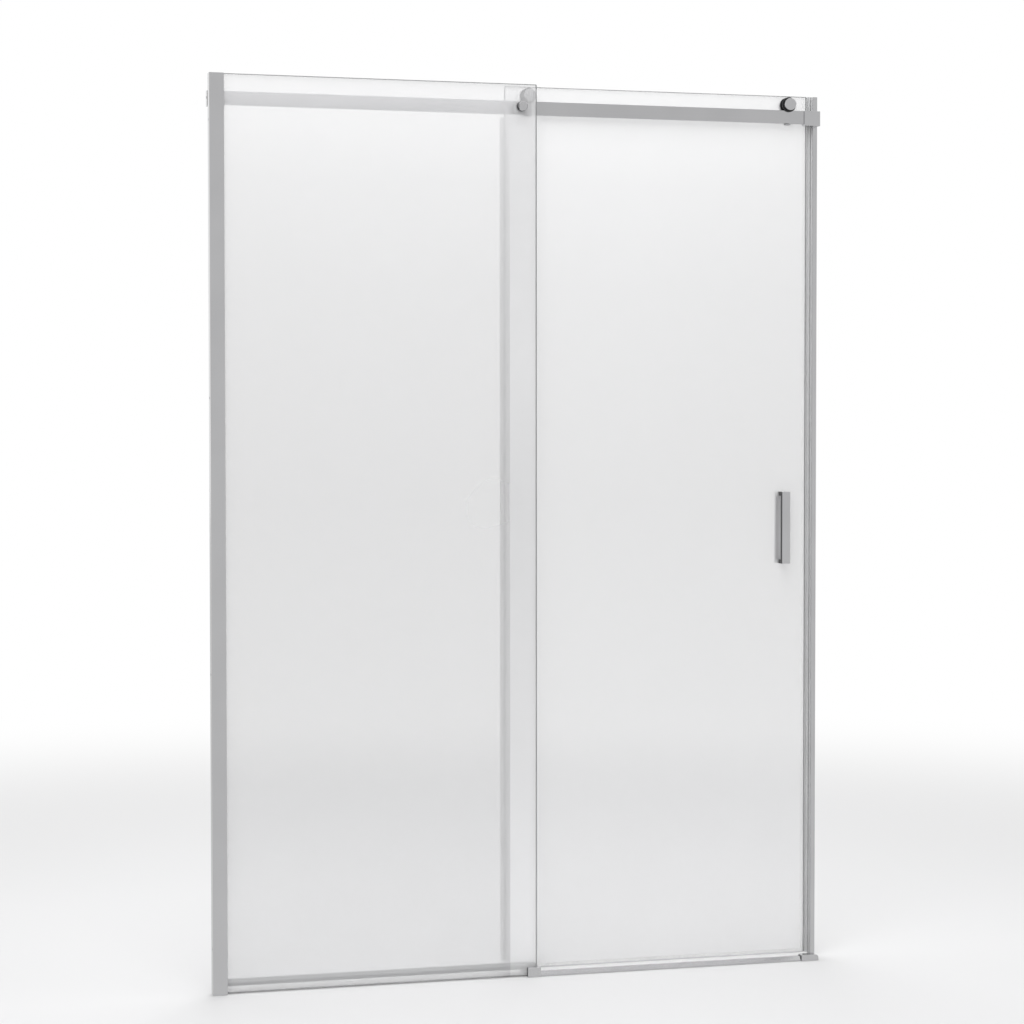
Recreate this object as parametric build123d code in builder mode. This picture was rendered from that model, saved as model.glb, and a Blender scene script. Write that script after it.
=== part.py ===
from build123d import *
import math
import os

# Sliding shower door for a niche: a fixed glass panel on the left, a rail across the top, and a
# glass panel that rolls along the rail behind it. Millimetres. +X runs along the door to the
# right, +Y into the shower and +Z up. The origin lies on the tray, at the middle of the door's
# width and of its whole depth.

# Overall sizes
opening_width = 1420.0
door_height = 2000.0
door_travel = 580.0

# Glass panels
fixed_glass_t = 8.0
fixed_glass_width = 724.0
fixed_glass_inset = 10.0
glass_lift = 2.0
sliding_glass_t = 6.0
sliding_glass_lift = 9.0
glass_overlap = 62.0
glass_arris = 0.7
glass_corner_r = 2.0
panel_spacing = 35.0

# Clearances
press_gap = 0.05
slip_gap = 0.2
run_gap = 0.3
seal_gap = 0.5
edge_break = 0.8

# Wall profile and glazing profile on the left
profile_reach = 32.0
profile_depth = 24.0
profile_t = 1.6
wall_hole_r = 2.5
wall_hole_end_margin = 100.0
wall_hole_count = 4
glazing_web_inset = 6.0
glazing_t = 1.5
glazing_setback = 2.0
gasket_width = 11.0
gasket_lip = 1.0
gasket_lip_rise = 0.6
setting_block_length = 18.0
profile_screw_inset = 14.0
profile_screw_r = 1.75
profile_screw_head_r = 3.5
profile_screw_head_h = 1.8
profile_screw_length = 6.5
profile_screw_end_margin = 150.0
profile_screw_count = 3

# Rail and its wall brackets
rail_height = 30.0
rail_depth = 10.0
rail_drop = 34.5
rail_behind_glass = 18.0
rail_edge_r = 0.6
bracket_length = 38.0
bracket_depth = 18.0
bracket_base = 6.0
bracket_floor = 4.0
bracket_edge_r = 1.0
bracket_hole_r = 2.75
bracket_hole_sink_r = 5.5
bracket_hole_sink_angle = 90.0
grub_r = 3.0
grub_inset = 20.0
grub_socket_r = 1.6
grub_socket_depth = 2.5

# Clamp that ties the fixed glass to the rail
clamp_inset = 34.5
clamp_head_r = 10.5
clamp_head_t = 12.0
clamp_head_chamfer = 1.2
clamp_bore_depth = 8.0
clamp_washer_r = 11.0
clamp_washer_t = 1.5
clamp_spacer_r = 10.0
clamp_screw_r = 4.0
clamp_screw_tip_gap = 1.0
clamp_sink_r = 8.0
clamp_socket_r = 2.8
clamp_socket_depth = 3.0
glass_hole_r = 7.0

# Travel stops behind the rail
buffer_r = 7.0
buffer_t = 5.5
buffer_recess_r = 4.5
buffer_recess_depth = 3.2
stop_screw_r = 2.5
stop_screw_head_r = 4.2
stop_screw_head_h = 3.0
stop_screw_grip = 8.0
stop_screw_socket_r = 2.0
stop_screw_socket_depth = 2.0

# Rollers
roller_inset = 50.5
wheel_groove_r = 12.8
wheel_flange_r = 17.0
wheel_flange_t = 2.5
wheel_side_gap = 0.5
wheel_edge_r = 0.6
wheel_lip_r = 9.3
bearing_bore_r = 4.0
bearing_inner_r = 6.0
bearing_race_r = 9.0
bearing_outer_r = 11.0
bearing_width = 7.0
ball_r = 1.98
ball_count = 7
ball_track_gap = 0.12
cap_r = 13.7
cap_t = 9.5
cap_chamfer = 0.8
cap_gap = 1.5
cap_boss_r = 5.8
cap_bore_wall = 2.5
axle_tip_gap = 0.5
roller_gasket_r = 12.5
roller_gasket_t = 1.5
bush_offset = 1.5
nut_r = 14.0
nut_t = 8.0
nut_bore_wall = 2.0
nut_key_r = 1.5
nut_key_reach = 9.0
nut_key_depth = 3.0
lift_stop_t = 2.0
lift_stop_width = 12.0
lift_stop_head = 8.0
lift_stop_drop = 3.0
lift_stop_setback = 2.0
lift_stop_bend_r = 2.5
lift_stop_corner_r = 4.0

# Handle on both faces of the sliding glass
handle_inset = 55.5
handle_height = 1004.0
handle_length = 166.0
handle_width = 20.0
handle_bar_t = 9.0
handle_leg = 9.0
handle_reach = 21.0
handle_edge_r = 1.0
handle_gasket_t = 1.0
handle_gasket_margin = 0.3
stud_r = 2.5
stud_engage = 8.0
stud_tip_gap = 0.5
sleeve_wall = 2.4

# Seals on the sliding glass
clip_t = 1.0
clip_grip = 10.0
fin_reach = 12.5
fin_t = 1.2
fin_bow = 1.4
fin_tip_gap = 1.0
fin_top_gap = 7.0
fin_bottom = 32.0
drip_bottom = 4.0
drip_lip_t = 1.2
drip_lip_flare = 1.5
magnet_chamber = 8.5
magnet_wall = 1.1
magnet_t = 4.9

# Closing profile on the right wall
strike_reach = 10.8
strike_t = 1.5
strike_holder_nose = 4.5
magnet_gap = 0.7
strike_hole_r = 1.9
holder_leg_t = 1.0

# Floor guide
guide_length = 30.0
guide_grip = 23.5
guide_height = 21.0
guide_front_reach = 10.0
guide_rear_wall = 8.0
guide_chamfer = 1.0
guide_liner_t = 1.5
guide_liner_floor = 0.8
guide_hole_r = 2.25
guide_hole_pitch = 14.0

# Threshold in front of the doorway and its end cap
threshold_height = 10.0
threshold_nose = 3.5
threshold_crown = 8.0
threshold_front_t = 6.0
threshold_rear_t = 2.0
threshold_hollow = 3.0
end_cap_length = 42.0
end_cap_height = 13.5
end_cap_overhang = 2.0
end_cap_wall_gap = 11.0
end_cap_corner_r = 6.0
end_cap_tongue = 8.0
end_cap_edge_break = 0.8

# Water bar behind the fixed glass
sill_depth = 18.0
sill_front_height = 21.0
sill_rear_height = 25.6
sill_t = 2.0
sill_seal_t = 2.2
sill_root_depth = 6.0
sill_root_inset = 3.0

# Places along X
left_wall = -opening_width / 2
right_wall = opening_width / 2
fixed_left = left_wall + fixed_glass_inset
fixed_right = fixed_left + fixed_glass_width
sliding_left = fixed_right - glass_overlap
strike_left = right_wall - strike_reach - strike_holder_nose
sliding_right = strike_left - magnet_gap - clip_t - magnet_chamber
profile_screw_x = left_wall + profile_screw_inset
clamp_x = fixed_right - clamp_inset
handle_x = sliding_right - handle_inset
roller_xs = {"left": sliding_left + roller_inset, "right": sliding_right - roller_inset}
guide_left = fixed_right - guide_grip
guide_right = guide_left + guide_length
end_cap_right = right_wall - end_cap_wall_gap
end_cap_left = end_cap_right - end_cap_length

# Places along Y, from the front of the clamp's head to the back of the inner handle
front_reach = clamp_washer_t + clamp_head_t
rear_reach = (fixed_glass_t + panel_spacing + sliding_glass_t
              + handle_gasket_t + handle_reach)
fixed_front = (front_reach - rear_reach) / 2
fixed_rear = fixed_front + fixed_glass_t
rail_front = fixed_rear + rail_behind_glass
rail_rear = rail_front + rail_depth
rail_mid = rail_front + rail_depth / 2
sliding_front = fixed_rear + panel_spacing
sliding_rear = sliding_front + sliding_glass_t
sliding_mid = sliding_front + sliding_glass_t / 2
profile_mid = fixed_front + fixed_glass_t / 2
profile_front = profile_mid - profile_depth / 2
profile_rear = profile_mid + profile_depth / 2
wheel_front = rail_front - wheel_side_gap - wheel_flange_t
wheel_rear = rail_rear + wheel_side_gap + wheel_flange_t
bearing_front = rail_mid - bearing_width / 2
bearing_rear = rail_mid + bearing_width / 2

# Places along Z
rail_top = door_height - rail_drop
rail_bottom = rail_top - rail_height
rail_mid_z = rail_top - rail_height / 2
roller_z = rail_top + wheel_groove_r + run_gap
handle_stud_rise = handle_length / 2 - handle_leg / 2
wall_hole_pitch = (door_height - 2 * wall_hole_end_margin) / (wall_hole_count - 1)
profile_screw_step = (door_height - 2 * profile_screw_end_margin) / (profile_screw_count - 1)
profile_screw_zs = [profile_screw_end_margin + index * profile_screw_step
                    for index in range(profile_screw_count)]

os.makedirs("parts", exist_ok=True)


def save(piece, name):
    """Label one finished sub-part and write its file."""
    piece.part.label = name
    export_step(piece.part, f"parts/{name}.step")


def facing(y):
    """Plane across the door at depth y, seen from the front: +X right, +Z up, normal to the front."""
    return Plane.XZ.offset(-y)


def across(x):
    """Plane square to the door's width at x, with local axes along +Y and +Z."""
    return Plane.YZ.offset(x)


def span(a0, a1, b0, b1, mode=Mode.ADD):
    """Rectangle between two corners in the sketch being drawn."""
    with Locations(((a0 + a1) / 2, (b0 + b1) / 2)):
        Rectangle(a1 - a0, b1 - b0, mode=mode)


def outline(*points):
    """Closed straight-sided outline in the sketch being drawn."""
    with BuildLine() as border:
        Polyline(*points, close=True)
    make_face(border.edges())


def along_y(x, y, z):
    """Plane at a point, square to the axis that bolts and rollers share."""
    return Plane(origin=(x, y, z), x_dir=(1, 0, 0), z_dir=(0, 1, 0))


def bar(x, z, front, rear, r, mode=Mode.ADD):
    """Round bar along Y between two depths, in the part being built."""
    with Locations(along_y(x, (front + rear) / 2, z)):
        Cylinder(r, rear - front, mode=mode)


def drill(x, z, front, rear, r):
    """Round hole along Y between two depths, in the part being built."""
    bar(x, z, front, rear, r, mode=Mode.SUBTRACT)


def sink(x, z, front, rear, front_r, rear_r, mode=Mode.ADD):
    """Cone along Y that widens towards the rear, in the part being built."""
    with Locations(along_y(x, (front + rear) / 2, z)):
        Cone(front_r, rear_r, rear - front, mode=mode)


def washer(x, z, front, rear, r, bore_r):
    """Round piece on an axis along Y with a through bore."""
    with BuildPart() as piece:
        bar(x, z, front, rear, r)
        drill(x, z, front, rear, bore_r)
    return piece


def turned(x, *steps, mode=Mode.ADD):
    """Revolve rectangles (r0, r1, y0, y1) about the roller axis at x, in the part being built."""
    section = Plane(origin=(x, 0, roller_z), x_dir=(1, 0, 0), z_dir=(0, 0, 1))
    with BuildSketch(section) as profile:
        for r0, r1, y0, y1 in steps:
            span(r0, r1, y0, y1)
    revolve(profile.sketch, axis=Axis((x, 0, roller_z), (0, 1, 0)), mode=mode)


def glass_pane(x0, x1, z0, front, thickness, holes):
    """Toughened pane with broken edges and drilled holes, each hole an (x, z, r)."""
    with BuildPart() as pane:
        with BuildSketch(facing(front + thickness)) as face:
            span(x0, x1, z0, door_height)
            fillet(face.vertices(), glass_corner_r)
        extrude(amount=thickness)
        faces = pane.faces().filter_by(Axis.Y).sort_by(Axis.Y)
        rims = faces[0].outer_wire().edges() + faces[-1].outer_wire().edges()
        chamfer(rims, glass_arris)
        for x, z, r in holes:
            drill(x, z, front, front + thickness, r)
    return pane


# Wall profile: an open channel screwed to the wall through its web
with BuildPart() as wall_profile:
    with BuildSketch():
        span(left_wall, left_wall + profile_reach, profile_front, profile_rear)
        span(left_wall + profile_t, left_wall + profile_reach,
             profile_front + profile_t, profile_rear - profile_t, mode=Mode.SUBTRACT)
    extrude(amount=door_height)
    outer_edges = wall_profile.edges().filter_by(Axis.Z).group_by(Axis.X)[0]
    chamfer(outer_edges, edge_break)
    with BuildSketch(across(left_wall)):
        with Locations((profile_mid, door_height / 2)):
            with GridLocations(wall_hole_pitch, wall_hole_pitch, 1, wall_hole_count):
                Circle(wall_hole_r)
    extrude(amount=profile_t, mode=Mode.SUBTRACT)
    for screw_z in profile_screw_zs:
        drill(profile_screw_x, screw_z, profile_rear - profile_t, profile_rear,
              profile_screw_r + slip_gap)
save(wall_profile, "wall_profile")

# Glazing profile: the channel that grips the fixed glass and slides in the wall profile
glazing_left = left_wall + glazing_web_inset
glazing_right = left_wall + profile_reach - glazing_setback
glazing_front = profile_front + profile_t + slip_gap
glazing_rear = profile_rear - profile_t - slip_gap
with BuildPart() as glazing_profile:
    with BuildSketch():
        span(glazing_left, glazing_right, glazing_front, glazing_rear)
        span(glazing_left + glazing_t, glazing_right,
             glazing_front + glazing_t, glazing_rear - glazing_t, mode=Mode.SUBTRACT)
    extrude(amount=door_height)
    for screw_z in profile_screw_zs:
        drill(profile_screw_x, screw_z, glazing_rear - glazing_t, glazing_rear,
              profile_screw_r + press_gap)
save(glazing_profile, "glazing_profile")

# Glazing gaskets: rubber wedges on both faces of the fixed glass, each with a lip outside
gasket_left = glazing_right - gasket_width
gasket_right = glazing_right + gasket_lip
for name, seat, glass_face, toward_glass in (
    ("glazing_gasket_front", glazing_front + glazing_t, fixed_front, 1),
    ("glazing_gasket_rear", glazing_rear - glazing_t, fixed_rear, -1),
):
    with BuildPart() as gasket:
        with BuildSketch():
            outline((gasket_left, seat), (glazing_right, seat),
                    (gasket_right, seat + toward_glass * gasket_lip_rise),
                    (gasket_right, glass_face), (gasket_left, glass_face))
        extrude(amount=door_height)
    save(gasket, name)

# Screws that lock the two profiles together, driven from inside the shower
with BuildPart() as profile_screws:
    for screw_z in profile_screw_zs:
        bar(profile_screw_x, screw_z, profile_rear - profile_screw_length, profile_rear,
            profile_screw_r)
        bar(profile_screw_x, screw_z, profile_rear, profile_rear + profile_screw_head_h,
            profile_screw_head_r)
save(profile_screws, "profile_screws")

# Setting block that carries the fixed glass inside the profile
with BuildPart() as setting_block:
    with BuildSketch():
        span(fixed_left, fixed_left + setting_block_length, fixed_front, fixed_rear)
    extrude(amount=glass_lift)
save(setting_block, "setting_block")

# Glass panels
fixed_glass = glass_pane(fixed_left, fixed_right, glass_lift, fixed_front, fixed_glass_t,
                         [(clamp_x, rail_mid_z, glass_hole_r)])
save(fixed_glass, "fixed_glass")

stud_hole_r = stud_r + press_gap + sleeve_wall + press_gap
stud_zs = (handle_height - handle_stud_rise, handle_height + handle_stud_rise)
sliding_holes = [(x + bush_offset, roller_z, glass_hole_r) for x in roller_xs.values()]
sliding_holes += [(handle_x, z, stud_hole_r) for z in stud_zs]
sliding_glass = glass_pane(sliding_left, sliding_right, sliding_glass_lift, sliding_front,
                           sliding_glass_t, sliding_holes)
save(sliding_glass, "sliding_glass")

# Travel stops sit where the lift stop behind the rail meets them at each end of the travel
buffer_xs = {
    "left": roller_xs["left"] - door_travel - lift_stop_width / 2 - run_gap - buffer_r,
    "right": roller_xs["right"] + lift_stop_width / 2 + run_gap + buffer_r,
}

# Top rail: a flat bar between the wall brackets
rail_left = left_wall + bracket_base + run_gap
rail_right = right_wall - bracket_base - run_gap
with BuildPart() as top_rail:
    with BuildSketch(across(rail_left)):
        span(rail_front, rail_rear, rail_bottom, rail_top)
    extrude(amount=rail_right - rail_left)
    fillet(top_rail.edges().filter_by(Axis.X), rail_edge_r)
    drill(clamp_x, rail_mid_z, rail_front, rail_rear, clamp_screw_r + press_gap)
    sink_front = rail_rear - (clamp_sink_r - clamp_screw_r)
    sink(clamp_x, rail_mid_z, sink_front, rail_rear, clamp_screw_r + press_gap,
         clamp_sink_r + press_gap, mode=Mode.SUBTRACT)
    for x in buffer_xs.values():
        drill(x, rail_mid_z, rail_rear - stop_screw_grip, rail_rear, stop_screw_r + press_gap)
save(top_rail, "top_rail")

# Rail brackets: a slotted block on each wall, open at the top, that the rail drops into
bracket_front = rail_mid - bracket_depth / 2
for side, wall, inward in (("left", left_wall, 1), ("right", right_wall, -1)):
    near = min(wall, wall + inward * bracket_length)
    socket_wall = wall + inward * bracket_base
    socket_open = wall + inward * bracket_length
    bracket_bottom = rail_bottom - bracket_floor
    with BuildPart() as rail_bracket:
        with BuildSketch(across(near)):
            span(bracket_front, bracket_front + bracket_depth, bracket_bottom, rail_top)
        extrude(amount=bracket_length)
        outer_faces = rail_bracket.faces().filter_by(Axis.Y)
        fillet(outer_faces.edges().filter_by(Axis.X), bracket_edge_r)
        with BuildSketch(across(min(socket_wall, socket_open))):
            span(rail_front - press_gap, rail_rear + press_gap, rail_bottom, rail_top)
        extrude(amount=bracket_length - bracket_base, mode=Mode.SUBTRACT)
        with Locations(Plane(origin=(socket_wall, rail_mid, rail_mid_z), z_dir=(inward, 0, 0))):
            CounterSinkHole(bracket_hole_r, bracket_hole_sink_r, depth=bracket_base,
                            counter_sink_angle=bracket_hole_sink_angle)
        with BuildSketch(Plane.XY.offset(bracket_bottom)):
            with Locations((wall + inward * grub_inset, rail_mid)):
                Circle(grub_r + press_gap)
        extrude(amount=bracket_floor, mode=Mode.SUBTRACT)
    save(rail_bracket, f"rail_bracket_{side}")

# Grub screws under the brackets that hold the rail
with BuildPart() as bracket_grub_screws:
    grub_spots = [(left_wall + grub_inset, rail_mid), (right_wall - grub_inset, rail_mid)]
    with BuildSketch(Plane.XY.offset(rail_bottom - bracket_floor)):
        with Locations(*grub_spots):
            Circle(grub_r)
    extrude(amount=bracket_floor)
    with BuildSketch(Plane.XY.offset(rail_bottom - bracket_floor)):
        with Locations(*grub_spots):
            RegularPolygon(grub_socket_r, 6)
    extrude(amount=grub_socket_depth, mode=Mode.SUBTRACT)
save(bracket_grub_screws, "bracket_grub_screws")

# Clamp through the fixed glass: head, washers, sleeve in the glass, spacer and screw
clamp_bore_r = clamp_screw_r + press_gap
head_rear = fixed_front - clamp_washer_t
head_front = head_rear - clamp_head_t
with BuildPart() as clamp_head:
    bar(clamp_x, rail_mid_z, head_front, head_rear, clamp_head_r)
    chamfer(clamp_head.faces().sort_by(Axis.Y)[0].edges(), clamp_head_chamfer)
    drill(clamp_x, rail_mid_z, head_rear - clamp_bore_depth, head_rear, clamp_bore_r)
save(clamp_head, "clamp_head")
save(washer(clamp_x, rail_mid_z, head_rear, fixed_front, clamp_washer_r, clamp_bore_r),
     "clamp_washer_front")
save(washer(clamp_x, rail_mid_z, fixed_rear, fixed_rear + clamp_washer_t, clamp_washer_r,
          clamp_bore_r), "clamp_washer_rear")
save(washer(clamp_x, rail_mid_z, fixed_front, fixed_rear, glass_hole_r - press_gap, clamp_bore_r),
     "clamp_sleeve")
save(washer(clamp_x, rail_mid_z, fixed_rear + clamp_washer_t, rail_front, clamp_spacer_r,
          clamp_bore_r), "clamp_spacer")
with BuildPart() as clamp_screw:
    screw_tip = head_rear - clamp_bore_depth + clamp_screw_tip_gap
    bar(clamp_x, rail_mid_z, screw_tip, rail_rear, clamp_screw_r)
    sink(clamp_x, rail_mid_z, sink_front, rail_rear, clamp_screw_r, clamp_sink_r)
    with BuildSketch(facing(rail_rear)):
        with Locations((clamp_x, rail_mid_z)):
            RegularPolygon(clamp_socket_r, 6)
    extrude(amount=clamp_socket_depth, mode=Mode.SUBTRACT)
save(clamp_screw, "clamp_screw")

# Travel stops: rubber buffers screwed to the back of the rail
for side, x in buffer_xs.items():
    with BuildPart() as stop_buffer:
        bar(x, rail_mid_z, rail_rear, rail_rear + buffer_t, buffer_r)
        drill(x, rail_mid_z, rail_rear, rail_rear + buffer_t, stop_screw_r + press_gap)
        drill(x, rail_mid_z, rail_rear + buffer_t - buffer_recess_depth, rail_rear + buffer_t,
              buffer_recess_r)
    save(stop_buffer, f"stop_buffer_{side}")
head_seat = rail_rear + buffer_t - buffer_recess_depth
with BuildPart() as stop_screws:
    for x in buffer_xs.values():
        bar(x, rail_mid_z, rail_rear - stop_screw_grip, head_seat, stop_screw_r)
        bar(x, rail_mid_z, head_seat, head_seat + stop_screw_head_h, stop_screw_head_r)
        with BuildSketch(facing(head_seat + stop_screw_head_h)):
            with Locations((x, rail_mid_z)):
                RegularPolygon(stop_screw_socket_r, 6)
        extrude(amount=stop_screw_socket_depth, mode=Mode.SUBTRACT)
save(stop_screws, "stop_screws")

# Rollers: each has a cap, an axle through the glass, a ball bearing, a grooved wheel, a lift
# stop under the rail, an eccentric bush for height, gaskets on the glass and a nut behind it
cap_rear = wheel_front - cap_gap
cap_front = cap_rear - cap_t
gasket_front = sliding_front - roller_gasket_t
lift_stop_front = gasket_front - lift_stop_t
nut_front = sliding_rear + roller_gasket_t
nut_rear = nut_front + nut_t
axle_front = cap_front + cap_bore_wall + axle_tip_gap
axle_rear = nut_rear - nut_bore_wall - axle_tip_gap
axle_bore_r = bearing_bore_r + press_gap
foot_bottom = rail_bottom - lift_stop_drop
foot_top = foot_bottom + lift_stop_t
foot_front = rail_front + lift_stop_setback
pitch_r = (bearing_inner_r + bearing_race_r) / 2
track_r = ball_r + ball_track_gap
for side, x in roller_xs.items():
    with BuildPart() as roller_cap:
        bar(x, roller_z, cap_front, cap_rear, cap_r)
        chamfer(roller_cap.faces().sort_by(Axis.Y)[0].edges(), cap_chamfer)
        bar(x, roller_z, cap_rear, bearing_front, cap_boss_r)
        drill(x, roller_z, cap_front + cap_bore_wall, bearing_front, axle_bore_r)
    save(roller_cap, f"roller_cap_{side}")

    with BuildPart() as roller_axle:
        turned(x, (0, bearing_bore_r, axle_front, axle_rear),
               (0, cap_boss_r, bearing_rear, lift_stop_front))
    save(roller_axle, f"roller_axle_{side}")

    with BuildPart() as inner_ring:
        turned(x, (axle_bore_r, bearing_inner_r, bearing_front, bearing_rear))
        with Locations(along_y(x, rail_mid, roller_z)):
            Torus(pitch_r, track_r, mode=Mode.SUBTRACT)
    save(inner_ring, f"bearing_inner_ring_{side}")

    with BuildPart() as outer_ring:
        turned(x, (bearing_race_r, bearing_outer_r - press_gap, bearing_front, bearing_rear))
        with Locations(along_y(x, rail_mid, roller_z)):
            Torus(pitch_r, track_r, mode=Mode.SUBTRACT)
    save(outer_ring, f"bearing_outer_ring_{side}")

    with BuildPart() as balls:
        with Locations(along_y(x, rail_mid, roller_z)):
            with PolarLocations(pitch_r, ball_count):
                Sphere(ball_r)
    save(balls, f"bearing_balls_{side}")

    with BuildPart() as wheel:
        turned(x, (wheel_lip_r, wheel_groove_r, wheel_front, wheel_rear),
               (wheel_lip_r, wheel_flange_r, wheel_front, wheel_front + wheel_flange_t),
               (wheel_lip_r, wheel_flange_r, wheel_rear - wheel_flange_t, wheel_rear))
        circles = wheel.edges().filter_by(GeomType.CIRCLE)
        rims = circles.filter_by(lambda edge: math.isclose(edge.radius, wheel_flange_r))
        fillet(rims, wheel_edge_r)
        turned(x, (wheel_lip_r, bearing_outer_r, bearing_front, bearing_rear), mode=Mode.SUBTRACT)
    save(wheel, f"roller_wheel_{side}")

    # The lift stop hangs from the axle behind the rail and turns forward under it
    with BuildPart() as lift_stop:
        with BuildSketch(across(x - lift_stop_width / 2)):
            outline((lift_stop_front, roller_z + lift_stop_head),
                    (gasket_front, roller_z + lift_stop_head), (gasket_front, foot_bottom),
                    (foot_front, foot_bottom), (foot_front, foot_top), (lift_stop_front, foot_top))
        extrude(amount=lift_stop_width)
        bend_edges = lift_stop.edges().filter_by(Axis.X).group_by(Axis.Z)[0]
        fillet(bend_edges.sort_by(Axis.Y)[-1], lift_stop_bend_r)
        top_edges = lift_stop.edges().filter_by(Axis.Y).group_by(Axis.Z)[-1]
        fillet(top_edges, lift_stop_corner_r)
        drill(x, roller_z, lift_stop_front, gasket_front, axle_bore_r)
    save(lift_stop, f"lift_stop_{side}")

    with BuildPart() as roller_gaskets:
        for rear in (sliding_front, nut_front):
            bar(x, roller_z, rear - roller_gasket_t, rear, roller_gasket_r)
            drill(x, roller_z, rear - roller_gasket_t, rear, axle_bore_r)
    save(roller_gaskets, f"roller_gaskets_{side}")

    with BuildPart() as eccentric_bush:
        bar(x + bush_offset, roller_z, sliding_front, sliding_rear, glass_hole_r - press_gap)
        drill(x, roller_z, sliding_front, sliding_rear, axle_bore_r)
    save(eccentric_bush, f"eccentric_bush_{side}")

    with BuildPart() as roller_nut:
        bar(x, roller_z, nut_front, nut_rear, nut_r)
        chamfer(roller_nut.faces().sort_by(Axis.Y)[-1].edges(), cap_chamfer)
        drill(x, roller_z, nut_front, nut_rear - nut_bore_wall, axle_bore_r)
        for key_x in (x - nut_key_reach, x + nut_key_reach):
            drill(key_x, roller_z, nut_rear - nut_key_depth, nut_rear, nut_key_r)
    save(roller_nut, f"roller_nut_{side}")

# Handle: a bar on two legs on each face of the glass, joined by studs through it
handle_left = handle_x - handle_width / 2
leg_depth = handle_reach - handle_bar_t
for name, seat, outward in (
    ("handle_outer", sliding_front - handle_gasket_t, -1),
    ("handle_inner", sliding_rear + handle_gasket_t, 1),
):
    bar_inner = seat + outward * leg_depth
    bar_outer = seat + outward * handle_reach
    stud_end = seat + outward * (stud_engage + stud_tip_gap)
    with BuildPart() as handle:
        with BuildSketch(across(handle_left)):
            span(min(seat, bar_outer), max(seat, bar_outer),
                 handle_height - handle_length / 2, handle_height + handle_length / 2)
            span(min(seat, bar_inner), max(seat, bar_inner),
                 handle_height - handle_length / 2 + handle_leg,
                 handle_height + handle_length / 2 - handle_leg, mode=Mode.SUBTRACT)
        extrude(amount=handle_width)
        front_face = handle.faces().filter_by(Axis.Y).sort_by(Axis.Y)[0 if outward < 0 else -1]
        fillet(front_face.edges(), handle_edge_r)
        for z in stud_zs:
            drill(handle_x, z, min(seat, stud_end), max(seat, stud_end), stud_r + press_gap)
    save(handle, name)

# Parts between the handles: gaskets on the glass, studs through it and sleeves in its holes
with BuildPart() as handle_gaskets:
    for rear in (sliding_front, sliding_rear + handle_gasket_t):
        with BuildSketch(facing(rear)):
            with Locations(*[(handle_x, z) for z in stud_zs]):
                Rectangle(handle_width - 2 * handle_gasket_margin,
                          handle_leg - 2 * handle_gasket_margin)
                Circle(stud_r + press_gap, mode=Mode.SUBTRACT)
        extrude(amount=handle_gasket_t)
save(handle_gaskets, "handle_gaskets")

with BuildPart() as handle_studs:
    stud_front = sliding_front - handle_gasket_t - stud_engage
    stud_rear = sliding_rear + handle_gasket_t + stud_engage
    with BuildSketch(facing(stud_rear)):
        with Locations(*[(handle_x, z) for z in stud_zs]):
            Circle(stud_r)
    extrude(amount=stud_rear - stud_front)
save(handle_studs, "handle_studs")

with BuildPart() as handle_sleeves:
    with BuildSketch(facing(sliding_rear)):
        with Locations(*[(handle_x, z) for z in stud_zs]):
            Circle(stud_hole_r - press_gap)
            Circle(stud_r + press_gap, mode=Mode.SUBTRACT)
    extrude(amount=sliding_glass_t)
save(handle_sleeves, "handle_sleeves")

# Overlap seal: clips on the sliding glass's left edge and reaches forward to the fixed glass
fin_left = sliding_left - fin_reach
fin_top = rail_bottom - fin_top_gap
clip_front = sliding_front - clip_t
clip_rear = sliding_rear + clip_t
fin_tip = fixed_rear + fin_tip_gap
with BuildPart() as overlap_seal:
    with BuildSketch(Plane.XY.offset(fin_bottom)):
        span(sliding_left - clip_t, sliding_left + clip_grip, clip_front, clip_rear)
        span(sliding_left, sliding_left + clip_grip, sliding_front, sliding_rear, mode=Mode.SUBTRACT)
        span(fin_left, sliding_left - clip_t, sliding_front, sliding_front + fin_t)
        with BuildLine():
            outer_bow = ThreePointArc((fin_left, sliding_front + fin_t),
                                      (fin_left - fin_bow, (sliding_front + fin_tip) / 2),
                                      (fin_left + fin_bow, fin_tip))
            inner_bow = ThreePointArc((fin_left + fin_bow + fin_t, fin_tip),
                                      (fin_left - fin_bow + fin_t, (sliding_front + fin_tip) / 2),
                                      (fin_left + fin_t, sliding_front + fin_t))
            Line(outer_bow @ 1, inner_bow @ 0)
            Line(inner_bow @ 1, outer_bow @ 0)
        make_face()
    extrude(amount=fin_top - fin_bottom)
save(overlap_seal, "overlap_seal")

# Magnet seal on the right edge: a clip and a hollow nose with a magnet strip in it
nose_left = sliding_right + clip_t
nose_right = nose_left + magnet_chamber
magnet_right = nose_right - magnet_wall
seal_height = door_height - sliding_glass_lift
with BuildPart() as magnet_seal:
    with BuildSketch(Plane.XY.offset(sliding_glass_lift)):
        span(sliding_right - clip_grip, nose_right, clip_front, clip_rear)
        span(sliding_right - clip_grip, sliding_right, sliding_front, sliding_rear,
             mode=Mode.SUBTRACT)
        span(nose_left, magnet_right, clip_front + magnet_wall, clip_rear - magnet_wall,
             mode=Mode.SUBTRACT)
    extrude(amount=seal_height)
save(magnet_seal, "magnet_seal")
with BuildPart() as panel_magnet:
    with BuildSketch(Plane.XY.offset(sliding_glass_lift)):
        span(magnet_right - magnet_t, magnet_right, clip_front + magnet_wall + press_gap,
             clip_rear - magnet_wall - press_gap)
    extrude(amount=seal_height)
save(panel_magnet, "panel_magnet")

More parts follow.
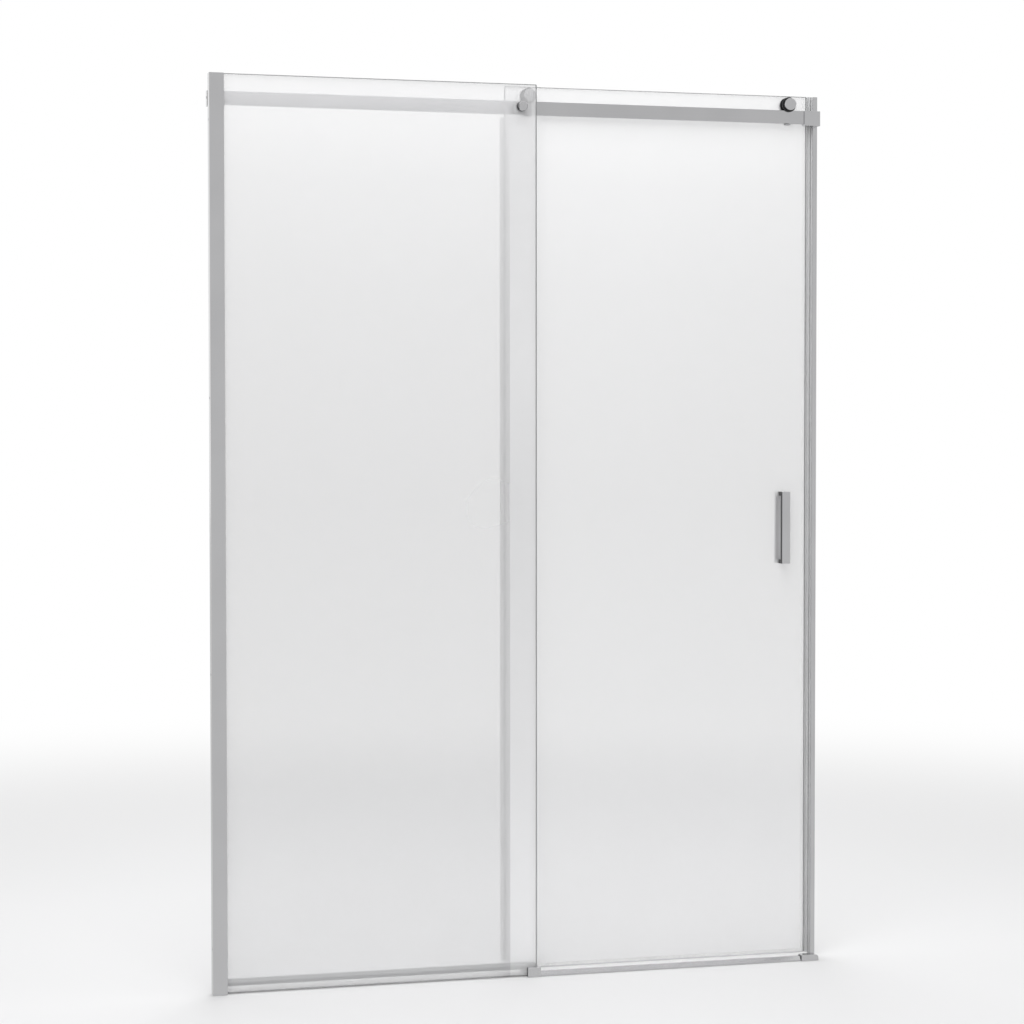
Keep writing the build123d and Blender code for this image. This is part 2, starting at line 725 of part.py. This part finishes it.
# Drip seal under the sliding glass, with a lip that flares inward
with BuildPart() as drip_seal:
    with BuildSketch(across(sliding_left)):
        span(clip_front, clip_rear, sliding_glass_lift - clip_t, sliding_glass_lift + clip_grip)
        span(sliding_front, sliding_rear, sliding_glass_lift, sliding_glass_lift + clip_grip,
             mode=Mode.SUBTRACT)
        outline((sliding_mid - drip_lip_t / 2, sliding_glass_lift - clip_t),
                (sliding_mid + drip_lip_t / 2, sliding_glass_lift - clip_t),
                (sliding_mid + drip_lip_t / 2 + drip_lip_flare, drip_bottom),
                (sliding_mid - drip_lip_t / 2 + drip_lip_flare, drip_bottom))
    extrude(amount=sliding_right - clip_grip - seal_gap - sliding_left)
save(drip_seal, "drip_seal")

# Closing profile on the right wall, with the holder and magnet strip that catch the panel
strike_front = clip_front - slip_gap - strike_t
strike_rear = clip_rear + slip_gap + strike_t
strike_mid = (strike_front + strike_rear) / 2
channel_left = right_wall - strike_reach
web_left = right_wall - strike_t
with BuildPart() as strike_profile:
    with BuildSketch():
        span(channel_left, right_wall, strike_front, strike_rear)
        span(channel_left, web_left, strike_front + strike_t, strike_rear - strike_t,
             mode=Mode.SUBTRACT)
    extrude(amount=door_height)
    with BuildSketch(across(web_left)):
        with Locations((strike_mid, door_height / 2)):
            with GridLocations(wall_hole_pitch, wall_hole_pitch, 1, wall_hole_count):
                Circle(strike_hole_r)
    extrude(amount=strike_t, mode=Mode.SUBTRACT)
save(strike_profile, "strike_profile")

chamber_right = strike_left + magnet_wall + magnet_t + 2 * press_gap
with BuildPart() as strike_holder:
    with BuildSketch():
        span(strike_left, web_left, clip_front, clip_rear)
        span(strike_left + magnet_wall, chamber_right, clip_front + magnet_wall,
             clip_rear - magnet_wall, mode=Mode.SUBTRACT)
        span(chamber_right + magnet_wall, web_left, clip_front + holder_leg_t,
             clip_rear - holder_leg_t, mode=Mode.SUBTRACT)
    extrude(amount=door_height)
save(strike_holder, "strike_holder")
with BuildPart() as strike_magnet:
    with BuildSketch():
        span(strike_left + magnet_wall, strike_left + magnet_wall + magnet_t,
             clip_front + magnet_wall + press_gap, clip_rear - magnet_wall - press_gap)
    extrude(amount=door_height)
save(strike_magnet, "strike_magnet")

# Floor guide: holds the corner of the fixed glass and keeps the sliding glass in line
guide_front = fixed_front - guide_front_reach
liner_front = clip_front - seal_gap - guide_liner_t
liner_rear = clip_rear + seal_gap + guide_liner_t
guide_rear = liner_rear + guide_rear_wall
with BuildPart() as guide_block:
    with BuildSketch():
        span(guide_left, guide_right, guide_front, guide_rear)
    extrude(amount=guide_height)
    top_face = guide_block.faces().sort_by(Axis.Z)[-1]
    chamfer(top_face.edges(), guide_chamfer)
    with BuildSketch(Plane.XY.offset(glass_lift)):
        span(guide_left, fixed_right + slip_gap, fixed_front - press_gap, fixed_rear + press_gap)
        span(guide_left, guide_right, liner_front, liner_rear)
    extrude(amount=guide_height, mode=Mode.SUBTRACT)
    with BuildSketch():
        with Locations(((guide_left + guide_right) / 2, (fixed_rear + liner_front) / 2)):
            with GridLocations(guide_hole_pitch, guide_hole_pitch, 2, 1):
                Circle(guide_hole_r)
    extrude(amount=guide_height, mode=Mode.SUBTRACT)
save(guide_block, "guide_block")
with BuildPart() as guide_liner:
    with BuildSketch(across(guide_left)):
        span(liner_front, liner_rear, glass_lift, guide_height)
        span(liner_front + guide_liner_t, liner_rear - guide_liner_t,
             glass_lift + guide_liner_floor, guide_height, mode=Mode.SUBTRACT)
    extrude(amount=guide_length)
save(guide_liner, "guide_liner")

# Threshold: an open extrusion with a sloping top, and the cap that ends it at the wall
threshold_front = guide_front
threshold_rear = fixed_rear
threshold_crown_y = threshold_rear - threshold_crown
hollow_front = threshold_front + threshold_front_t
hollow_rear = threshold_rear - threshold_rear_t
with BuildPart() as threshold_strip:
    with BuildSketch(across(guide_right)):
        outline((threshold_front, 0), (threshold_front, threshold_nose),
                (threshold_crown_y, threshold_height), (threshold_rear, threshold_height),
                (threshold_rear, 0))
        span(hollow_front, hollow_rear, 0, threshold_hollow, mode=Mode.SUBTRACT)
    extrude(amount=end_cap_left - guide_right)
    fillet(threshold_strip.edges().filter_by(Axis.X).group_by(Axis.Z)[-1], edge_break)
save(threshold_strip, "threshold_strip")
with BuildPart() as threshold_end_cap:
    with BuildSketch():
        span(end_cap_left, end_cap_right, threshold_front - end_cap_overhang,
             threshold_rear + end_cap_overhang)
    extrude(amount=end_cap_height)
    cap_top = threshold_end_cap.faces().sort_by(Axis.Z)[-1]
    fillet(cap_top.edges().filter_by(Axis.Y), end_cap_corner_r)
    end_face = threshold_end_cap.faces().sort_by(Axis.Y)[0]
    chamfer(end_face.edges().filter_by(lambda edge: edge.center().Z > 0), end_cap_edge_break)
    with BuildSketch(across(end_cap_left)):
        span(hollow_front + slip_gap, hollow_rear - slip_gap, 0, threshold_hollow - slip_gap)
    extrude(amount=-end_cap_tongue)
save(threshold_end_cap, "threshold_end_cap")

# Water bar behind the fixed glass: a channel on the tray and the rubber seal in its mouth
sill_left = left_wall + profile_reach + slip_gap
sill_front = fixed_rear + run_gap
sill_rear = sill_front + sill_depth
sill_slope = (sill_rear_height - sill_front_height) / sill_depth
root_front = sill_front + sill_t + slip_gap
root_rear = sill_rear - sill_t - slip_gap
root_bottom = sill_front_height - sill_root_depth
with BuildPart() as sill_profile:
    with BuildSketch(across(sill_left)):
        outline((sill_front, 0), (sill_rear, 0), (sill_rear, sill_rear_height),
                (sill_rear - sill_t, sill_rear_height - sill_t * sill_slope),
                (sill_rear - sill_t, sill_t), (sill_front + sill_t, sill_t),
                (sill_front + sill_t, sill_front_height + sill_t * sill_slope),
                (sill_front, sill_front_height))
    extrude(amount=guide_left - slip_gap - sill_left)
save(sill_profile, "sill_profile")
with BuildPart() as sill_seal:
    with BuildSketch(across(sill_left)):
        outline((sill_front, sill_front_height), (sill_rear, sill_rear_height),
                (sill_rear, sill_rear_height + sill_seal_t),
                (sill_front, sill_front_height + sill_seal_t))
        outline((root_front, sill_front_height + (root_front - sill_front) * sill_slope),
                (root_front, root_bottom), (root_rear - sill_root_inset, root_bottom),
                (root_rear, sill_front_height + (root_rear - sill_front) * sill_slope))
    extrude(amount=fixed_right - sill_left)
    with BuildSketch(Plane.XY):
        span(guide_left - slip_gap, guide_right, sill_front - slip_gap, guide_rear)
    extrude(amount=guide_height + slip_gap, mode=Mode.SUBTRACT)
save(sill_seal, "sill_seal")
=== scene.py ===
import math

import bpy
from mathutils import Matrix, Vector

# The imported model: metres, +X along the door, +Y into the shower, +Z up from the tray.
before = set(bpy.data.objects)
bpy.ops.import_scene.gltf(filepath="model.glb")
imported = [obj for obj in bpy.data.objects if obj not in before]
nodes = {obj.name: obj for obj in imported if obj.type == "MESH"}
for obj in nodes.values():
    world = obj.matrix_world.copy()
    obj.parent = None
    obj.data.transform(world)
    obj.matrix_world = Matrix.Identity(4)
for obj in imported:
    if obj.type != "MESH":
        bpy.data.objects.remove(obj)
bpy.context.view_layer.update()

# Which nodes share a finish
SATIN_METAL = ("top_rail", "threshold_strip")
UPRIGHT = ("wall_profile", "strike_profile", "glazing_profile")
POLISHED_METAL = ("rail_bracket_left", "rail_bracket_right", "clamp_spacer", "roller_cap_left",
                  "roller_cap_right", "roller_nut_left", "roller_nut_right", "handle_inner")
# Chrome parts whose side faces get a painted dark reflection
PAINTED_DARK_REFLECTION_METAL = ("clamp_head", "handle_outer", "guide_block", "threshold_end_cap")
STEEL = ("profile_screws", "bracket_grub_screws", "clamp_screw", "stop_screws",
         "lift_stop_left", "lift_stop_right", "handle_studs", "roller_axle_left",
         "roller_axle_right", "bearing_inner_ring_left", "bearing_inner_ring_right",
         "bearing_outer_ring_left", "bearing_outer_ring_right", "bearing_balls_left",
         "bearing_balls_right")
RUBBER = ("glazing_gasket_front", "glazing_gasket_rear", "clamp_washer_front",
          "clamp_washer_rear", "stop_buffer_left", "stop_buffer_right", "roller_gaskets_left",
          "roller_gaskets_right")
GREY_RUBBER = ("sill_seal", "handle_gaskets")
CLEAR_SEALS = ("overlap_seal", "magnet_seal", "drip_seal")
CLEAR_CHANNEL = ("sill_profile",)
HOLDER = ("strike_holder",)
MAGNETS = ("panel_magnet", "strike_magnet")
BLACK_NYLON = ("roller_wheel_left", "roller_wheel_right")
WHITE_NYLON = ("setting_block", "clamp_sleeve", "handle_sleeves", "eccentric_bush_left",
               "eccentric_bush_right", "guide_liner")

WHITE = (1, 1, 1, 1)
EVEN = (1, 1, 1)


class Tree:
    """A node tree with short calls to add and join nodes."""

    def __init__(self, owner):
        owner.use_nodes = True
        self.tree = owner.node_tree
        self.tree.nodes.clear()

    def add(self, kind, **settings):
        node = self.tree.nodes.new(kind)
        for key, value in settings.items():
            setattr(node, key, value)
        return node

    def join(self, source, target):
        self.tree.links.new(source, target)

    def axes(self, vector):
        """The X, Y and Z of a vector, by name."""
        node = self.add("ShaderNodeSeparateXYZ")
        self.join(vector, node.inputs["Vector"])
        return node.outputs

    def spread(self, value, low, high, start=0.3, end=0.7, curve="LINEAR"):
        """The value from start to end, mapped to low to high and held there."""
        mapped = self.add("ShaderNodeMapRange", interpolation_type=curve)
        mapped.inputs["From Min"].default_value = start
        mapped.inputs["From Max"].default_value = end
        mapped.inputs["To Min"].default_value = low
        mapped.inputs["To Max"].default_value = high
        self.join(value, mapped.inputs["Value"])
        return mapped.outputs["Result"]

    def switch(self, share, off, on):
        """The first value where the share is 0, and the second where it is 1."""
        return self.spread(share, off, on, 0, 1)

    def maths(self, operation, first, second=None):
        node = self.add("ShaderNodeMath", operation=operation)
        self.join(first, node.inputs[0])
        if isinstance(second, (int, float)):
            node.inputs[1].default_value = second
        elif second is not None:
            self.join(second, node.inputs[1])
        return node.outputs["Value"]

    def rays(self):
        """Shares of the rays straight from the camera, of the mirrored ones, and of either."""
        path = self.add("ShaderNodeLightPath")
        straight = self.maths("MAXIMUM", path.outputs["Is Camera Ray"],
                              path.outputs["Is Transmission Ray"])
        mirrored = path.outputs["Is Glossy Ray"]
        return straight, mirrored, self.maths("MAXIMUM", straight, mirrored)

    def mix(self, share, first, second, output):
        """The output shows the first shader, and the second by its share."""
        node = self.add("ShaderNodeMixShader")
        self.join(share, node.inputs["Fac"])
        self.join(first, node.inputs[1])
        self.join(second, node.inputs[2])
        self.join(node.outputs["Shader"], output.inputs["Surface"])


class Finish(Tree):
    """A material's node tree around one Principled shader."""

    def __init__(self, name):
        self.material = bpy.data.materials.new(name)
        super().__init__(self.material)
        self.shader = self.add("ShaderNodeBsdfPrincipled")
        self.output = self.add("ShaderNodeOutputMaterial")
        self.join(self.shader.outputs["BSDF"], self.output.inputs["Surface"])

    def place(self, stretch=EVEN):
        """Object coordinates in metres, stretched per axis."""
        coordinates = self.add("ShaderNodeTexCoord")
        mapping = self.add("ShaderNodeMapping")
        mapping.inputs["Scale"].default_value = stretch
        self.join(coordinates.outputs["Object"], mapping.inputs["Vector"])
        return mapping.outputs["Vector"]

    def normal(self):
        """The surface normal's X, Y and Z, by name."""
        return self.axes(self.add("ShaderNodeNewGeometry").outputs["Normal"])

    def noise(self, place, scale, detail):
        texture = self.add("ShaderNodeTexNoise")
        texture.inputs["Scale"].default_value = scale
        texture.inputs["Detail"].default_value = detail
        self.join(place, texture.inputs["Vector"])
        return texture.outputs["Fac"]

    def blend(self, share, low, high):
        """A colour between two colours; either may be a socket."""
        mix = self.add("ShaderNodeMix", data_type="RGBA")
        self.join(share, mix.inputs["Factor"])
        for value, name in ((low, "A"), (high, "B")):
            socket = [s for s in mix.inputs if s.name == name and s.type == "RGBA"][0]
            if isinstance(value, tuple):
                socket.default_value = (*value, 1)
            else:
                self.join(value, socket)
        return [s for s in mix.outputs if s.type == "RGBA"][0]

    def scaled(self, colour, value):
        """A colour times a value."""
        node = self.add("ShaderNodeVectorMath", operation="SCALE")
        self.join(colour, node.inputs[0])
        self.join(value, node.inputs["Scale"])
        return node.outputs["Vector"]

    def feed(self, name, source):
        """Joins a socket to one of the shader's inputs."""
        self.join(source, self.shader.inputs[name])

    def bump(self, height, strength, distance):
        node = self.add("ShaderNodeBump")
        node.inputs["Strength"].default_value = strength
        node.inputs["Distance"].default_value = distance
        self.join(height, node.inputs["Height"])
        self.feed("Normal", node.outputs["Normal"])

    def set(self, **values):
        for name, value in values.items():
            self.shader.inputs[name.replace("_", " ")].default_value = value


# Grain and wear: noise per metre, its detail, and how much it shows
COARSE_DETAIL = 2.0
SKIN_DETAIL = 3.0
GRAIN_DETAIL = 4.0
PATCH_SCALE = 9.0
MOTTLE_SCALE = 14.0
GRAIN_ROUGHNESS = 0.03
GRAIN_BUMP = 0.06
GRAIN_HEIGHT = 0.0002
SKIN_BUMP = 0.25
# How square to the door's width a face must be, from and to, to take the painted dark reflection
PAINTED_SIDE_STARTS = 0.6
PAINTED_SIDE_ENDS = 0.75


def metal(name, pale, dark, rough, stretch, grain, painted_sides=None):
    """Metal with drawn or polished grain, faint wiped patches and a little dulling.

    The colour given for the sides is a painted dark reflection, laid on the faces square to the
    door's width."""
    m = Finish(name)
    lines = m.noise(m.place(stretch), grain, GRAIN_DETAIL)
    patches = m.noise(m.place(), PATCH_SCALE, COARSE_DETAIL)
    colour = m.blend(m.spread(patches, 0, 1), dark, pale)
    # The side faces take a painted dark reflection instead of the chrome's own colour
    if painted_sides:
        painted_side_facing = m.maths("ABSOLUTE", m.normal()["X"])
        colour = m.blend(m.spread(painted_side_facing, 0, 1, PAINTED_SIDE_STARTS, PAINTED_SIDE_ENDS), colour, painted_sides)
    m.feed("Base Color", colour)
    wiped = m.spread(patches, *rough)
    fine = m.spread(lines, -GRAIN_ROUGHNESS, GRAIN_ROUGHNESS)
    m.feed("Roughness", m.maths("ADD", wiped, fine))
    m.bump(lines, GRAIN_BUMP, GRAIN_HEIGHT)
    m.set(Metallic=1.0)
    return m


def plastic(name, pale, dark, rough, grain, height):
    """Moulded or extruded plastic and rubber with a fine skin and faint mottling."""
    m = Finish(name)
    skin = m.noise(m.place(), grain, SKIN_DETAIL)
    mottle = m.noise(m.place(), MOTTLE_SCALE, COARSE_DETAIL)
    m.feed("Base Color", m.blend(m.spread(mottle, 0, 1), dark, pale))
    m.feed("Roughness", m.spread(skin, *rough))
    m.bump(skin, SKIN_BUMP, height)
    return m


# Glass: how much of each face the milk covers, and how pale it is at shares of MILK_HEIGHT, with
# painted shade by height: palest at the bottom and top, darkest a little above half height
MILK_WITH_PAINTED_SHADE = ((0.0, 0.92), (0.175, 0.83), (0.3, 0.75), (0.535, 0.69), (0.775, 0.74), (0.89, 0.8),
        (0.95, 0.88), (1.0, 0.93))
MILK_HEIGHT = 2.0
MILK_BLUE = 1.01
MILK_COVER = 0.33
# The sliding pane is painted lighter than the fixed one, though both are the same glass
FIXED_PALENESS = 1.0
SLIDING_PAINTED_PALENESS = 1.1
CLOUD_STRETCH = (1, 1, 0.6)
CLOUD_SCALE = 2.2
CLOUD_PALENESS = 0.02
CLOUD_COVER = 0.01
ETCH_SCALE = 900.0
ETCH_ROUGHNESS = (0.34, 0.46)
ETCH_BUMP = 0.12
ETCH_HEIGHT = 0.0001
GLASS_IOR = 1.5
FACE_NORMAL = 0.95

# Glass edges: how much their dark colour covers, also where a clip or the floor shows through
EDGE_COLOUR = (0.03, 0.04, 0.04)
EDGE_COVER = 0.95
SLIDING_LEFT = -0.0375
CLIP_TOP = 1.93
CLIPPED_COVER = 0.12
FOOT_TOP = 0.01
FOOT_COVER = 0.4

# The part of the fixed pane that the closed sliding pane stands behind, painted lighter there:
# how much, and the heights where that painted light fades out
OVERLAP_LEFT = -0.038
OVERLAP_PAINTED_LIGHT = 1.28
PAINTED_LIGHT_FADES = 1.4
PAINTED_LIGHT_ENDS = 1.85


def satin_glass(name, paleness, clipped_left=None, painted_light_left=None):
    """Etched glass: a milky face that lets part of the light by, and dark polished edges. The
    milk's paleness carries painted shade by height.

    Where a seal's clip wraps the left edge, that edge is pale instead of dark, and the bottom
    edge lets the pale floor through. Where the panes overlap, the front one is painted lighter,
    standing in for the light that the rear one scatters."""
    m = Finish(name)
    face = m.maths("GREATER_THAN", m.maths("ABSOLUTE", m.normal()["Y"]), FACE_NORMAL)
    etching = m.noise(m.place(), ETCH_SCALE, COARSE_DETAIL)
    cloud = m.noise(m.place(CLOUD_STRETCH), CLOUD_SCALE, COARSE_DETAIL)
    spot = m.axes(m.place())

    # The milk's paleness by height, with painted shade darkening it towards the middle of the
    # pane
    milk_and_painted_shade = m.add("ShaderNodeValToRGB")
    m.join(m.maths("MULTIPLY", spot["Z"], 1 / MILK_HEIGHT), milk_and_painted_shade.inputs["Fac"])
    stops = milk_and_painted_shade.color_ramp.elements
    stops.remove(stops[1])
    for place, grey in MILK_WITH_PAINTED_SHADE:
        stop = stops.new(place) if place else stops[0]
        stop.color = (grey, grey, grey * MILK_BLUE, 1)
    tint_and_painted_light = m.spread(cloud, paleness - CLOUD_PALENESS, paleness + CLOUD_PALENESS)
    # Painted light: the fixed pane is lighter where the closed sliding pane stands behind it,
    # fading out near the top
    if painted_light_left is not None:
        behind = m.maths("GREATER_THAN", spot["X"], painted_light_left)
        lower = m.spread(spot["Z"], 1, 0, PAINTED_LIGHT_FADES, PAINTED_LIGHT_ENDS)
        painted_light = m.switch(m.maths("MULTIPLY", behind, lower), 1.0, OVERLAP_PAINTED_LIGHT)
        tint_and_painted_light = m.maths("MULTIPLY", tint_and_painted_light, painted_light)
    m.feed("Base Color", m.blend(face, EDGE_COLOUR, m.scaled(milk_and_painted_shade.outputs["Color"], tint_and_painted_light)))

    cover = m.spread(cloud, MILK_COVER - CLOUD_COVER, MILK_COVER + CLOUD_COVER)
    foot = m.maths("LESS_THAN", spot["Z"], FOOT_TOP)
    edge_cover = m.maths("MULTIPLY", m.switch(face, 1, 0),
                         m.switch(foot, EDGE_COVER, FOOT_COVER))
    if clipped_left is not None:
        clipped = m.maths("MULTIPLY", m.maths("LESS_THAN", spot["X"], clipped_left),
                          m.maths("LESS_THAN", spot["Z"], CLIP_TOP))
        edge_cover = m.maths("MULTIPLY", edge_cover, m.switch(clipped, 1, CLIPPED_COVER))
    m.feed("Alpha", m.maths("ADD", m.maths("MULTIPLY", cover, face), edge_cover))
    m.feed("Roughness", m.spread(etching, *ETCH_ROUGHNESS))
    m.bump(etching, ETCH_BUMP, ETCH_HEIGHT)
    m.set(IOR=GLASS_IOR)
    return m


# Seals: their cover on the glass and beyond it, counted from the sliding pane's middle
SEAL_MIDDLE = 0.32325
SEAL_REACH = 0.361
SEAL_COVER = 0.04
FOLD_COVER = 0.2
CHANNEL_COVER = 0.06
HOLDER_COVER = 0.2


def seal_plastic(name, pale, dark, rough, grain, height):
    """Translucent plastic: faint where it lies on the glass, and cloudier where it folds."""
    m = plastic(name, pale, dark, rough, grain, height)
    beyond = m.maths("ABSOLUTE", m.maths("SUBTRACT", m.axes(m.place())["X"], SEAL_MIDDLE))
    folded = m.maths("GREATER_THAN", beyond, SEAL_REACH)
    m.feed("Alpha", m.switch(folded, SEAL_COVER, FOLD_COVER))
    return m


# Finishes: pale and dark colour, roughness from and to, then the stretch and scale of the grain
# of a metal, or the scale and height of the skin of a plastic, and last, for one chrome, the
# colour of the painted dark reflection on its side faces
satin_metal = metal("drawn_chrome", (0.63, 0.63, 0.64), (0.59, 0.59, 0.6), (0.17, 0.24),
                    (0.02, 1, 1), 1500.0)
upright_metal = metal("drawn_chrome_upright", (0.66, 0.66, 0.67), (0.62, 0.62, 0.63),
                      (0.17, 0.24), (1, 1, 0.02), 1500.0)
polished = metal("polished_chrome", (0.64, 0.64, 0.65), (0.6, 0.6, 0.61), (0.1, 0.17),
                 EVEN, 700.0)
# Polished chrome with a painted dark reflection on the faces square to the door's width
painted_dark_reflection_chrome = metal("polished_chrome_painted_dark_reflection", (0.64, 0.64, 0.65), (0.6, 0.6, 0.61),
                   (0.1, 0.17), EVEN, 700.0, (0.04, 0.04, 0.042))
steel = metal("turned_steel", (0.56, 0.57, 0.58), (0.5, 0.5, 0.52), (0.22, 0.32),
              (1, 0.1, 1), 1200.0)
rubber = plastic("dark_rubber", (0.06, 0.06, 0.065), (0.035, 0.035, 0.038), (0.62, 0.78),
                 800.0, 0.0003)
grey_rubber = plastic("grey_rubber", (0.25, 0.253, 0.255), (0.2, 0.203, 0.205), (0.5, 0.65),
                      800.0, 0.0003)
black_nylon = plastic("black_nylon", (0.02, 0.02, 0.022), (0.012, 0.012, 0.013), (0.36, 0.5),
                      900.0, 0.0002)
white_nylon = plastic("white_nylon", (0.82, 0.82, 0.8), (0.76, 0.76, 0.74), (0.4, 0.55),
                      900.0, 0.0002)
magnet = plastic("magnet_strip", (0.86, 0.86, 0.87), (0.8, 0.8, 0.81), (0.4, 0.55),
                 700.0, 0.0002)
channel = plastic("clear_channel", (0.95, 0.955, 0.96), (0.9, 0.905, 0.91), (0.2, 0.32),
                  500.0, 0.0002)
channel.set(Alpha=CHANNEL_COVER)
holder = plastic("cloudy_pvc", (0.8, 0.805, 0.81), (0.74, 0.745, 0.75), (0.3, 0.45),
                 500.0, 0.0002)
holder.set(Alpha=HOLDER_COVER)
clear_seal = seal_plastic("clear_pvc", (0.62, 0.63, 0.63), (0.56, 0.57, 0.57), (0.18, 0.3),
                          500.0, 0.0002)
front_glass = satin_glass("satin_glass_fixed", FIXED_PALENESS, painted_light_left=OVERLAP_LEFT)
rear_glass = satin_glass("satin_glass_sliding", SLIDING_PAINTED_PALENESS, clipped_left=SLIDING_LEFT)

finishes = ((satin_metal, SATIN_METAL), (upright_metal, UPRIGHT), (polished, POLISHED_METAL),
            (painted_dark_reflection_chrome, PAINTED_DARK_REFLECTION_METAL), (steel, STEEL), (rubber, RUBBER),
            (grey_rubber, GREY_RUBBER), (holder, HOLDER), (channel, CLEAR_CHANNEL),
            (clear_seal, CLEAR_SEALS), (magnet, MAGNETS), (black_nylon, BLACK_NYLON),
            (white_nylon, WHITE_NYLON), (front_glass, ("fixed_glass",)),
            (rear_glass, ("sliding_glass",)))
for finish, names in finishes:
    for name in names:
        materials = nodes[name].data.materials
        if not materials:
            materials.append(finish.material)
        for index in range(len(materials)):
            materials[index] = finish.material

# What metal and glass see of the floor and world: how bright the near side is, and how much of
# the floor they mirror at that tone
NEAR_SIDE = 0.7
MIRROR_SHARE = 0.85

# Floor: pale near the door, and fading into the white surroundings
FLOOR_HALF = 30.0
FLOOR_DROP = 0.0005
FLOOR_COLOUR = (0.78, 0.78, 0.785, 1)
FLOOR_ROUGHNESS = 0.7
FLOOR_SHINE = 0.1
FADE_STARTS = 0.6
FADE_ENDS = 5.5
floor_mesh = bpy.data.meshes.new("floor")
corners = [(x * FLOOR_HALF, y * FLOOR_HALF, 0) for x, y in ((-1, -1), (1, -1), (1, 1), (-1, 1))]
floor_mesh.from_pydata(corners, [], [(0, 1, 2, 3)])
floor = bpy.data.objects.new("floor", floor_mesh)
floor.location.z = -FLOOR_DROP
bpy.context.scene.collection.objects.link(floor)
ground = Finish("floor")
ground.set(Base_Color=FLOOR_COLOUR, Roughness=FLOOR_ROUGHNESS, Specular_IOR_Level=FLOOR_SHINE)
reach = ground.add("ShaderNodeVectorMath", operation="LENGTH")
ground.join(ground.add("ShaderNodeTexCoord").outputs["Object"], reach.inputs[0])
straight, mirrored, seen = ground.rays()
white = ground.add("ShaderNodeEmission")
white.inputs["Color"].default_value = WHITE
ground.join(ground.switch(straight, NEAR_SIDE, 1.0), white.inputs["Strength"])
far = ground.spread(reach.outputs["Value"], 0, 1, FADE_STARTS, FADE_ENDS, "SMOOTHERSTEP")
share = ground.maths("MAXIMUM", ground.maths("MULTIPLY", far, seen),
                     ground.maths("MULTIPLY", mirrored, MIRROR_SHARE))
ground.mix(share, ground.shader.outputs["BSDF"], white.outputs["Emission"], ground.output)
floor_mesh.materials.append(ground.material)

# World: white to the camera. Metal mirrors white behind the door and grey on the near side
SIDE_FROM = -0.6
SIDE_TO = 0.4
AMBIENT = 0.36
world = bpy.data.worlds.new("studio")
bpy.context.scene.world = world
sky = Tree(world)
depth = sky.axes(sky.add("ShaderNodeTexCoord").outputs["Generated"])["Y"]
side = sky.spread(depth, NEAR_SIDE, 1.0, SIDE_FROM, SIDE_TO)
straight, mirrored, seen = sky.rays()
shown = sky.add("ShaderNodeBackground")
shown.inputs["Color"].default_value = WHITE
sky.join(sky.maths("MAXIMUM", straight, side), shown.inputs["Strength"])
ambient = sky.add("ShaderNodeBackground")
ambient.inputs["Color"].default_value = WHITE
ambient.inputs["Strength"].default_value = AMBIENT
sky.mix(seen, ambient.outputs["Background"], shown.outputs["Background"],
        sky.add("ShaderNodeOutputWorld"))

# Square softboxes: place, the point they face, width and power
SOFTBOXES = {
    "key": ((-0.8, -2.2, 3.8), (0, 0, 1.6), 2.0, 55),
    "top": ((0, 0, 4.6), (0, 0, 0), 3.0, 120),
    "rear": ((0.4, 2.4, 3.6), (0, 0, 1.6), 2.0, 45),
}
for name, (place, target, width, power) in SOFTBOXES.items():
    light = bpy.data.lights.new(name, "AREA")
    light.shape = "SQUARE"
    light.size = width
    light.energy = power
    lamp = bpy.data.objects.new(name, light)
    lamp.location = place
    lamp.rotation_euler = (Vector(target) - Vector(place)).to_track_quat("-Z", "Y").to_euler()
    lamp.visible_glossy = False
    bpy.context.scene.collection.objects.link(lamp)

# Camera at the photograph's view, for a square picture
FOCAL_PX = 2503.75
IMAGE_PX = 1024.0
SENSOR_MM = 36.0
VIEW_DEPTH = 200
CAMERA_PLACE = (-1.4934, -5.42895, 1.2328)
YAW = math.radians(15.126)
PITCH = math.radians(-1.90)
ROLL = math.radians(0.034)
camera_data = bpy.data.cameras.new("camera")
camera_data.sensor_width = SENSOR_MM
camera_data.lens = FOCAL_PX / IMAGE_PX * SENSOR_MM
camera_data.clip_end = VIEW_DEPTH
camera = bpy.data.objects.new("camera", camera_data)
forward = Vector((math.sin(YAW) * math.cos(PITCH), math.cos(YAW) * math.cos(PITCH),
                  math.sin(PITCH)))
right = Vector((math.cos(YAW), -math.sin(YAW), 0))
up = right.cross(forward)
roll = Matrix.Rotation(ROLL, 3, forward)
turned = Matrix((roll @ right, roll @ up, -(roll @ forward))).transposed()
camera.matrix_world = Matrix.Translation(CAMERA_PLACE) @ turned.to_4x4()
bpy.context.scene.collection.objects.link(camera)
bpy.context.scene.camera = camera
bpy.context.scene.view_settings.view_transform = "Standard"
